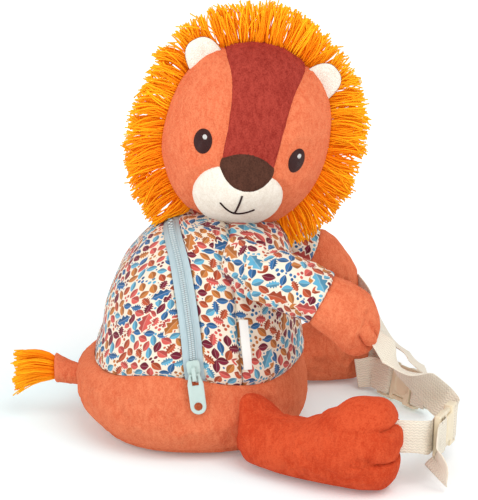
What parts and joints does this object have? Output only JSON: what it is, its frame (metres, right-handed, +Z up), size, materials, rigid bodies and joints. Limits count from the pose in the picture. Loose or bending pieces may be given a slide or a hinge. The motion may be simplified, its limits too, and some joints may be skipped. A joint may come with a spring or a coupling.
{
  "type": "kids backpack",
  "caption": "Plush sitting-lion backpack for a child: the printed body is a zipped bag, and webbing with side-release buckles joins hands to feet as shoulder loops.",
  "frame": {"origin": "centre of the flat base, on the floor the lion sits on", "axes": "+Z up; -Y the way the lion's belly faces; -X towards the lion's right side, where the zip is"},
  "size_m": [0.2876, 0.3475, 0.3382],
  "materials": {
    "coral_plush": "short soft pile",
    "printed_jersey": "matt knit with a leaf print",
    "dark_red_plush": "short soft pile",
    "cream_plush": "short soft pile",
    "brown_plush": "short soft pile",
    "brown_thread": "satin stitch",
    "yarn": "thick soft yarn",
    "zip_tape": "woven tape, nylon coil",
    "enamel": "glossy enamel",
    "label_cloth": "smooth woven tape",
    "webbing": "herringbone webbing",
    "buckle_plastic": "fine satin"
  },
  "bodies": {
    "bag": {"bottom_panel": "coral_plush", "base_side": "coral_plush", "head": "coral_plush", "tail": "coral_plush", "hand_right": "coral_plush", "hand_left": "coral_plush", "leg_right": "coral_plush", "leg_left": "coral_plush", "shirt_back": "printed_jersey", "shirt_front": "printed_jersey", "sleeve_right": "printed_jersey", "sleeve_left": "printed_jersey", "forehead_panel": "dark_red_plush", "ear_back_right": "dark_red_plush", "ear_back_left": "dark_red_plush", "muzzle": "cream_plush", "ear_front_right": "cream_plush", "ear_front_left": "cream_plush", "nose": "brown_plush", "eye_right": "brown_thread", "eye_left": "brown_thread", "mane": "yarn", "tail_tassel": "yarn", "zip_tape_front": "zip_tape", "zip_tape_back": "zip_tape", "zip_coil": "zip_tape", "zip_slider": "enamel", "side_label": "label_cloth", "foot_strap_right": "webbing", "foot_strap_left": "webbing", "shoulder_strap_right": "webbing", "shoulder_strap_left": "webbing", "buckle_socket_right": "buckle_plastic", "buckle_socket_left": "buckle_plastic", "buckle_plug_right": "buckle_plastic", "buckle_plug_left": "buckle_plastic"},
    "pull": {"zip_pull": "enamel"}
  },
  "joints": [
    {"name": "pull_swing", "type": "hinge", "parent": "bag", "child": "pull", "pos_m": [-0.09361, -0.00484, 0.07137], "axis": [0.0037, 0.9917, -0.1282], "range_deg": [0, 150]}
  ]
}
